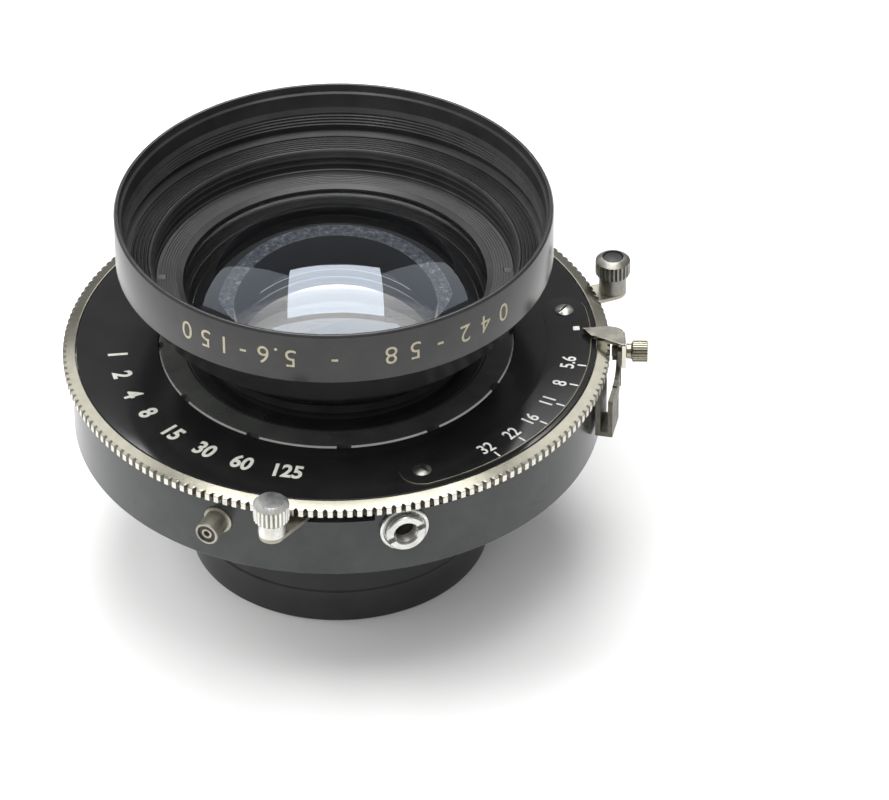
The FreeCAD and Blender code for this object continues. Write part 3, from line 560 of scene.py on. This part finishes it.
def speed_ring():
    """The toothed ring round the face. Inside the teeth it has a smooth band that falls a little outwards."""
    teeth = 180
    pitch = 360.0 / teeth
    crest = 0.23
    depth = 0.44
    # One tooth: shares of the pitch, each with the depth of the cut there.
    shares = (
        (-crest - 0.03, 0.03), (-crest, 0.0), (0.0, 0.0), (crest, 0.0), (crest + 0.03, 0.03),
        (crest + 0.11, 0.24), (0.5, depth), (1 - crest - 0.11, 0.24))
    depth_at = {}
    for tooth in range(teeth):
        for share, cut in shares:
            depth_at[round((tooth + share) * pitch % 360, 4)] = cut
    outline = [
        (22.05, 31.6), (37.3, 31.6), (37.84, 31.6), (TIP_RADIUS, 31.66), (TIP_RADIUS, 32.63), (37.85, 32.68),
        (BAND_RADIUS, 32.83), (36.22, 33.2), (36.13, 33.17), (36.1, 33.1), (36.1, 32.0), (22.05, 32.0)]

    def cut_tooth(angle, r, z):
        if r < ROOT_RADIUS + 0.05:
            return r, z
        low = max(r - depth_at[round(angle, 4)], ROOT_RADIUS)
        return low, z + (r - low) * 0.30 if z > 32.0 else z

    def tooth_face(r, z, normal):
        if z > 32.66:
            return 0
        # The gaps between teeth get the dark nickel, painted shade.
        return 1 if 37.3 < r < 37.84 else 2
    # The tooth fronts take a lighter nickel than the band, a painted highlight.
    ring = lathe("speed_setting_ring", outline, [NICKEL_BAND, TOOTH_ROOT_SHADE, NICKEL_TEETH_LIT],
                 angles=sorted(depth_at), wave=cut_tooth, pick=tooth_face, smooth_angle=25.0)
    # The band's outer edge stays crisp all round, between the teeth too.
    for edge in ring.data.edges:
        ends = [ring.data.vertices[index].co for index in edge.vertices]
        if all(abs(math.hypot(end.x, end.y) / MM - BAND_RADIUS) < 0.01 and end.z / MM > 32.7 for end in ends):
            edge.use_edge_sharp = True
    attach(ring, "speed_ring_body")
    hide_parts("speed_ring")


def placed_along(piece, radius, angle, z):
    """Turns a piece lathed about Z so that its axis points out from the lens, its z = 0 at radius 0."""
    turn = Matrix.Rotation(math.radians(angle), 4, "Z") @ Matrix.Rotation(math.radians(90), 4, "Y")
    piece.data.transform(Matrix.Translation((0, 0, z * MM)) @ turn @ Matrix.Translation((0, 0, radius * MM)))


def placed_at(piece, radius, angle):
    """Moves a piece lathed about Z to its own axis, which stays upright."""
    piece.data.transform(Matrix.Translation((*on_circle(radius * MM, angle), 0)))


def knurled(name, outline, materials, depth, low, high, widest, pick=None):
    """A turned knob, fluted where it is widest, between low and high. Its grooves get the last material."""
    pitch = 360.0 / FLUTES
    shares = ((-0.23, 0.08), (-0.15, 0.0), (0.15, 0.0), (0.23, 0.08), (0.33, 0.8), (0.5, 1.0), (0.67, 0.8))
    cut_at = {}
    for flute in range(FLUTES):
        for share, cut in shares:
            cut_at[round((flute + share) * pitch % 360, 4)] = cut * depth

    def cut_flute(angle, r, z):
        if low < z < high and r > widest - depth:
            return max(r - cut_at[round(angle, 4)], widest - depth), z
        return r, z

    # The deep part of each groove gets the last material, a darker one: painted shade.
    def groove(r, z, normal):
        if low < z < high and widest - depth - 0.01 < r < widest - 0.45 * depth:
            return len(materials) - 1
        return pick(r, z, normal) if pick else 0
    return lathe(name, outline, materials, angles=sorted(cut_at), wave=cut_flute, pick=groove,
                 smooth_angle=28.0)


def curved_strip(radius, half, start, end):
    """The outline of a strip that follows a circle from one angle to another, with round ends."""
    steps = 80
    cap_steps = 20
    angles = [start + (end - start) * step / steps for step in range(steps + 1)]
    cap = [180.0 * step / cap_steps for step in range(1, cap_steps)]
    outline = [on_circle(radius + half, angle) for angle in angles]
    outline += [on_circle(half, end + turn, on_circle(radius, end)) for turn in cap]
    outline += [on_circle(radius - half, angle) for angle in reversed(angles)]
    outline += [on_circle(half, start + 180.0 + turn, on_circle(radius, start)) for turn in cap]
    return outline


def scale_plate():
    """The raised plate that carries the aperture scale, black on top; its sides facing the light are bronze,
    a painted highlight.
    """
    centre = 32.25
    half = 3.05
    start, end = 290.15, 369.64
    lit_sides_before = 13.2      # sides nearer the plate's start than this x get the bronze, a painted highlight
    flat = curved_strip(centre, half, start, end)
    shape = bmesh.new()
    rings = []
    for inset, z in ((0.0, FACE_TOP), (0.0, SCALE_TOP - 0.07), (0.035, SCALE_TOP - 0.02), (0.09, SCALE_TOP)):
        ring = []
        for index, (x, y) in enumerate(flat):
            before = flat[index - 1]
            after = flat[(index + 1) % len(flat)]
            along = Vector((after[0] - before[0], after[1] - before[1])).normalized()
            ring.append(shape.verts.new(((x - along.y * inset) * MM, (y + along.x * inset) * MM, z * MM)))
        rings.append(ring)
    count = len(flat)
    for lower, upper in zip(rings, rings[1:]):
        for index in range(count):
            nearby = (index + 1) % count
            side = shape.faces.new((lower[index], lower[nearby], upper[nearby], upper[index]))
            middle = side.calc_center_median() / MM
            # The outer side and the start end, which face the light, get the bronze, a painted highlight.
            far_out = math.hypot(middle.x, middle.y) > centre + 0.9 * half and middle.x > 0.37 * centre
            side.material_index = 1 if far_out or middle.x < lit_sides_before else 0
    shape.faces.new(rings[-1])
    shape.faces.new(rings[0][::-1])
    bmesh.ops.recalc_face_normals(shape, faces=shape.faces)
    plate = finish_mesh("aperture_scale", shape, [BLACK_FACE, SCALE_EDGE_LIT])
    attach(plate, CASE)
    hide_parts("aperture_scale_plate")


# ---- numerals ------------------------------------------------------------------------------------------

def glyph_mesh(text, size, narrow, weight):
    """The flat outline of some numerals, centred on the origin, as a thin solid."""
    curve = bpy.data.curves.new("numeral_source", "FONT")
    curve.body = text
    curve.size = size
    curve.align_x = "CENTER"
    curve.align_y = "CENTER"
    curve.offset = weight
    curve.extrude = 0.02
    curve.resolution_u = 6
    holder = bpy.data.objects.new("numeral_source", curve)
    bpy.context.scene.collection.objects.link(holder)
    bpy.context.view_layer.update()
    mesh = bpy.data.meshes.new_from_object(holder)
    bpy.data.objects.remove(holder)
    xs = [v.co.x for v in mesh.vertices]
    ys = [v.co.y for v in mesh.vertices]
    middle = Vector(((min(xs) + max(xs)) / 2, (min(ys) + max(ys)) / 2, 0))
    for vertex in mesh.vertices:
        vertex.co = vertex.co - middle
        vertex.co.x *= narrow
    return mesh


def mark(name, mesh, material, matrix):
    """A painted mark on the fixed case, from a copy of the mesh."""
    mesh = mesh.copy()
    mesh.transform(matrix)
    mesh.name = name
    mesh.materials.clear()
    mesh.materials.append(material)
    made = bpy.data.objects.new(name, mesh)
    bpy.context.scene.collection.objects.link(made)
    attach(made, CASE)
    return made


def on_face(radius, angle, z):
    """Places a flat mark, made in millimetres, with its foot outwards."""
    turn = math.radians(angle)
    out = Vector((math.cos(turn), math.sin(turn), 0))
    along = Vector((-math.sin(turn), math.cos(turn), 0))
    place = Matrix.Identity(4)
    place.col[0][:3] = along * MM
    place.col[1][:3] = -out * MM
    place.col[2][:3] = Vector((0, 0, MM))
    place.col[3][:3] = out * radius * MM + Vector((0, 0, z * MM))
    return place


def bar_mesh(width, height):
    """A thin bar with its corners rounded."""
    shape = bmesh.new()
    bmesh.ops.create_cube(shape, size=1.0)
    bmesh.ops.scale(shape, vec=(width, height, 0.04), verts=shape.verts)
    upright = [edge for edge in shape.edges if abs(edge.verts[0].co.z - edge.verts[1].co.z) > 0.01]
    bmesh.ops.bevel(shape, geom=upright, offset=0.08, segments=2, affect="EDGES")
    mesh = bpy.data.meshes.new("bar")
    shape.to_mesh(mesh)
    shape.free()
    return mesh


def numerals():
    """The aperture scale, with the angle of each number and of its tick, and the speeds."""
    stops = (
        ("5.6", 348.1, 347.4), ("8", 339.4, 339.8), ("11", 331.75, 331.65), ("16", 323.6, 323.95),
        ("22", 316.1, 316.1), ("32", 307.8, 308.25))
    scale_z = SCALE_TOP + LIFT
    tick = bar_mesh(0.26, 1.3)
    for text, angle, tick_angle in stops:
        label = text.replace(".", "_")
        mark("stop_" + label, glyph_mesh(text, 2.75, 0.84, 0.035), WHITE, on_face(32.5, angle, scale_z))
        mark("stop_tick_" + label, tick, WHITE, on_face(34.5, tick_angle, scale_z))
    mark("stop_tick_widest", bar_mesh(0.9, 0.9), WHITE, on_face(33.3, 1.9, scale_z))
    speeds = (
        ("1", 184.5), ("2", 193.5), ("4", 202.5), ("8", 211.5), ("15", 222.5), ("30", 233.5), ("60", 244.5),
        ("125", 257.0))
    for text, angle in speeds:
        mark("dial_" + text, glyph_mesh(text, 3.7, 0.82, 0.11), CREAM, on_face(30.3, angle, FACE_TOP + LIFT))


def flange_numerals():
    """Numbers on the front flange, upside down when it is up. Each is wrapped on the cylinder."""
    letters = (
        ("0", 228.5), ("5", 234.6), ("1", 240.1), ("-", 245.5), ("6", 251.0), (".", 254.4), ("5", 258.2),
        ("-", 269.5), ("8", 284.0), ("5", 290.5), ("-", 297.5), ("2", 305.0), ("4", 311.8), ("0", 318.4))
    for index, (text, angle) in enumerate(letters):
        source = glyph_mesh(text, 4.0, 0.95, -0.02)
        drop = 1.2 if text == "." else 0.0
        for vertex in source.vertices:
            x, y, depth = vertex.co
            turn = math.radians(angle) - x / FLANGE_RADIUS
            r = FLANGE_RADIUS + 0.03 + depth
            vertex.co = Vector((r * math.cos(turn), r * math.sin(turn), FLANGE_TEXT_Z - y + drop)) * MM
        mark("flange_mark_%02d" % index, source, GOLD, Matrix.Identity(4))


# ---- carried-over CAD shapes ---------------------------------------------------------------------------

def in_cable_bore(place):
    """1 for a face inside the cable release's threaded hole, 0 for any other."""
    out = Vector((*on_circle(1.0, CABLE_ANGLE), 0))
    offset = place - Vector((0, 0, CABLE_Z))
    depth = offset.dot(out)
    away = (offset - out * depth).length
    return 1 if away < 1.75 and depth < 38.15 else 0


def detailed_nodes():
    """Pieces with their CAD shape and broken edges: node, body, finish, width of the edges, slot."""
    rows = (
        ("shutter_housing", CASE, BLACK_CASE, 0.12, "black_anodised"),
        ("scale_screws", CASE, SCREW_STEEL, 0.0, "steel"),
        ("mounting_lock_ring", CASE, BLACK_GUARD, 0.12, "black_anodised"),
        # The aperture lever gets the dark nickel, painted shade under the speed ring.
        ("aperture_lever", "aperture_body", SHADED_NICKEL, 0.09, "nickel"),
        ("aperture_pointer", "aperture_body", NICKEL_POINTER, 0.09, "nickel"),
        ("release_lever", "release_body", GREY_CHROME, 0.07, "nickel"),
        ("press_focus_lever", "press_focus_body", GREY_CHROME, 0.07, "nickel"),
        ("press_focus_cap", "press_focus_body", BLACK_PLASTIC, 0.05, "black_plastic"),
        ("sync_socket_shell", CASE, GREY_CHROME, 0.05, "bright_chrome"),
        ("sync_insulator", CASE, BLACK_PLASTIC, 0.04, "black_plastic"),
        ("sync_contact", CASE, GREY_CHROME, 0.12, "bright_chrome"),
        ("cable_release_washer", CASE, CHROME, 0.06, "bright_chrome"))
    for node, body, material, bevel, slot in rows:
        refined(node, body, [material], bevel)
    # The inside of the threaded hole gets the dark colour, painted shade in the recess.
    nipple = refined("cable_release_nipple", CASE, [CHROME, BORE_SHADE], 0.06, pick=in_cable_bore)


def cable_thread():
    """The ridges of the thread inside the cable release's nipple. Their outward slopes keep the chrome; the
    other slopes get the bore's dark colour, painted shade.
    """
    pitch = 0.4
    ridges = []
    for turn in range(4):
        low = 36.42 + pitch * turn
        ridges += [(1.57, low), (1.42, low + 0.06), (1.42, low + 0.14), (1.57, low + 0.34)]
    outline = [(1.66, 38.05)] + ridges[::-1] + [(1.66, 36.38)]

    # Slopes facing the mouth keep the chrome; the others get the dark colour, painted shade.
    def slope(r, z, normal):
        return 0 if normal.z > 0.3 else 1
    thread = lathe("cable_thread_ridges", outline, [THREAD_CHROME, BORE_SHADE], 96, slope)
    placed_along(thread, 0, CABLE_ANGLE, CABLE_Z)
    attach(thread, CASE)


def release_knob():
    """The bright knob of the release lever, worn dull on its crown."""
    outline = [
        (0, 30.6), (1.7, 30.6), (1.85, 30.75), (1.85, 32.9), (1.95, 33.0), (2.2, 33.0), (2.45, 33.25),
        (2.45, 35.45), (2.41, 35.53), (1.85, 36.1), (1.79, 36.14), (1.2, 36.16), (0, 36.17)]
    # The grooves get the darker chrome, painted shade.
    finishes = [KNOB_CHROME, KNOB_TOP, KNOB_GROOVE_SHADE]

    def crown(r, z, normal):
        return 1 if z > 36.12 else 0
    piece = knurled("release_knob_detail", outline, finishes, FLUTE_DEPTH, 33.1, 35.5, 2.45, crown)
    placed_at(piece, *RELEASE_KNOB_PLACE)
    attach(piece, "release_body")
    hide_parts("release_knob")


def press_focus_knob():
    """The knob has a shallow well on top, which its black cap fills."""
    outline = [
        (0, 29.86), (1.9, 29.86), (1.95, 29.96), (1.95, 32.55), (2.2, 32.6), (2.45, 32.85), (2.45, 34.8),
        (2.40, 34.92), (1.62, 35.46), (1.52, 35.48), (1.46, 35.42), (1.46, 34.9), (0, 34.9)]
    # The grooves of the flutes get the dark nickel, painted shade.
    finishes = [KNOB_GREY, SHADED_NICKEL]
    piece = knurled("press_focus_knob_detail", outline, finishes, FLUTE_DEPTH, 32.7, 34.88, 2.45)
    placed_at(piece, *PRESS_KNOB_PLACE)
    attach(piece, "press_focus_body")
    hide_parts("press_focus_knob")


def clamp_screw():
    """The screw that clamps the pointer to the aperture lever."""
    outline = [
        (0, 38.1), (0.75, 38.1), (0.75, 40.1), (1.0, 40.15), (1.05, 40.2), (1.05, 40.75), (1.3, 40.97),
        (1.4, 40.97), (1.5, 41.07), (1.5, 42.98), (1.42, 43.08), (0, 43.1)]
    # The grooves of the flutes get the dark nickel, painted shade.
    finishes = [NICKEL_SCREW, SHADED_NICKEL]
    piece = knurled("clamp_screw_detail", outline, finishes, SCREW_FLUTE_DEPTH, 41.0, 43.0, 1.5)
    placed_along(piece, 0.0, CLAMP_SCREW_ANGLE, CLAMP_SCREW_Z)
    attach(piece, "clamp_screw_body")
    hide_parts("pointer_clamp_screw")


def hidden_nodes():
    """Parts that are mostly out of sight keep their CAD shape and get a finish of their own."""
    blades = ["%s_blade_%d" % (kind, number) for kind in ("iris", "shutter") for number in range(1, 6)]
    rows = (
        (BRASS, ["iris_base_plate", "blade_base_plate", "mechanism_plate", "plate_pillars",
                 "governor_wheel", "governor_fly"]),
        (STEEL, ["plate_screws", "governor_arbors", "iris_drive_ring", "shutter_drive_ring",
                 "cable_plunger"]),
        (BLACK_INSIDE, ["rear_inner_ring", "rear_retaining_ring"]),
        (BLACK_BLADE, blades))
    for finish, nodes in rows:
        for node in nodes:
            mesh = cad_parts[node].data
            mesh.materials.clear()
            mesh.materials.append(finish)


# ---- floor, light and camera ---------------------------------------------------------------------------

def pale_floor():
    """A matt floor, pale and a little uneven, far wider than the view."""
    look = Nodes("pale_floor")
    look.set(Roughness=0.75)
    patches = look.ramp(look.noise(3.0, 4.0), [(0.3, (0.70, 0.70, 0.695)), (0.7, (0.74, 0.74, 0.735))])
    look.feed(patches, "Base Color")
    look.bump(look.noise(900.0, 3.0), 0.00002, 0.15)
    shape = bmesh.new()
    bmesh.ops.create_grid(shape, x_segments=8, y_segments=8, size=3.0)
    floor = finish_mesh("floor", shape, [look.material])


def lights():
    """Each panel's name, place and size in metres, power in watts, and turn about Z.

    A panel with a turn faces straight down and is seen in reflections.
    One whose turn is None is aimed at the lens, and reflections don't show it.
    """
    panels = (
        ("softbox_rear", (0.0, 0.652, 1.0), (0.517, 0.580), 8.6, 0.0),
        ("softbox_left", (-0.672, 1.055, 1.0), (1.2, 0.45), 2.3, 123.6),
        ("softbox_right", (0.672, 1.055, 1.0), (1.2, 0.45), 2.3, 56.4),
        ("softbox_top", (0.0, -0.04, 1.3), (0.9, 0.92), 12.0, 0.0),
        ("fill_left", (-1.3, 0.1, 1.2), (0.9, 1.2), 23.0, None),
        ("fill_right", (1.3, 0.3, 1.2), (0.9, 1.2), 4.0, None),
        ("fill_front", (-0.5, -1.3, 1.2), (1.8, 1.0), 16.0, None))
    for name, place, size, power, turn in panels:
        light = bpy.data.lights.new(name, "AREA")
        light.shape = "RECTANGLE"
        light.size, light.size_y = size
        light.energy = power
        holder = bpy.data.objects.new(name, light)
        holder.location = place
        holder.visible_glossy = turn is not None
        holder.visible_transmission = False
        if turn is None:
            holder.rotation_mode = "QUATERNION"
            holder.rotation_quaternion = (-Vector(place)).to_track_quat("-Z", "Y")
        else:
            holder.rotation_euler.z = math.radians(turn)
        bpy.context.scene.collection.objects.link(holder)


def surroundings():
    """White behind the lens and through its glass, a soft grey for everything else that it reflects."""
    world = bpy.data.worlds.new("studio")
    bpy.context.scene.world = world
    world.use_nodes = True
    tree = world.node_tree
    white = tree.nodes["Background"]
    white.inputs["Color"].default_value = (1.0, 1.0, 1.0, 1)
    white.inputs["Strength"].default_value = 1.0
    grey = tree.nodes.new("ShaderNodeBackground")
    grey.inputs["Color"].default_value = (0.30, 0.30, 0.305, 1)
    rays = tree.nodes.new("ShaderNodeLightPath")
    through = tree.nodes.new("ShaderNodeMixShader")
    tree.links.new(rays.outputs["Is Transmission Ray"], through.inputs[0])
    tree.links.new(grey.outputs[0], through.inputs[1])
    tree.links.new(white.outputs[0], through.inputs[2])
    mixed = tree.nodes.new("ShaderNodeMixShader")
    tree.links.new(rays.outputs["Is Camera Ray"], mixed.inputs[0])
    tree.links.new(through.outputs[0], mixed.inputs[1])
    tree.links.new(white.outputs[0], mixed.inputs[2])
    tree.links.new(mixed.outputs[0], tree.nodes["World Output"].inputs["Surface"])


def camera():
    """In front of the lens and above it, aimed at the origin and then panned, tilted and rolled a little."""
    distance = 0.851
    elevation = math.radians(38.30)
    place = Vector((0, -distance * math.cos(elevation), distance * math.sin(elevation)))
    ahead = (-place).normalized()
    right = Vector((1, 0, 0))
    axes = {"ahead": ahead, "right": right, "up": right.cross(ahead)}
    for around, angle in (("up", -1.02), ("right", 1.20), ("ahead", 1.21)):
        turn = Quaternion(axes[around], math.radians(angle))
        axes = {name: turn @ axis for name, axis in axes.items()}
    lens = bpy.data.cameras.new("main_camera")
    lens.sensor_width = 36.0
    lens.lens = 242.97
    lens.clip_start = 0.05
    lens.clip_end = 20.0
    holder = bpy.data.objects.new("main_camera", lens)
    holder.matrix_world = Matrix((axes["right"], axes["up"], -axes["ahead"])).transposed().to_4x4()
    holder.location = place
    bpy.context.scene.collection.objects.link(holder)
    bpy.context.scene.camera = holder


camera()
pale_floor()
lights()
surroundings()
front_barrel()
rear_barrel()
lens_glasses()
inner_ring()
retaining_ring()
face_plate()
lock_ring()
speed_ring()
scale_plate()
numerals()
flange_numerals()
detailed_nodes()
cable_thread()
release_knob()
press_focus_knob()
clamp_screw()
hidden_nodes()
bpy.context.scene.view_settings.view_transform = "Standard"
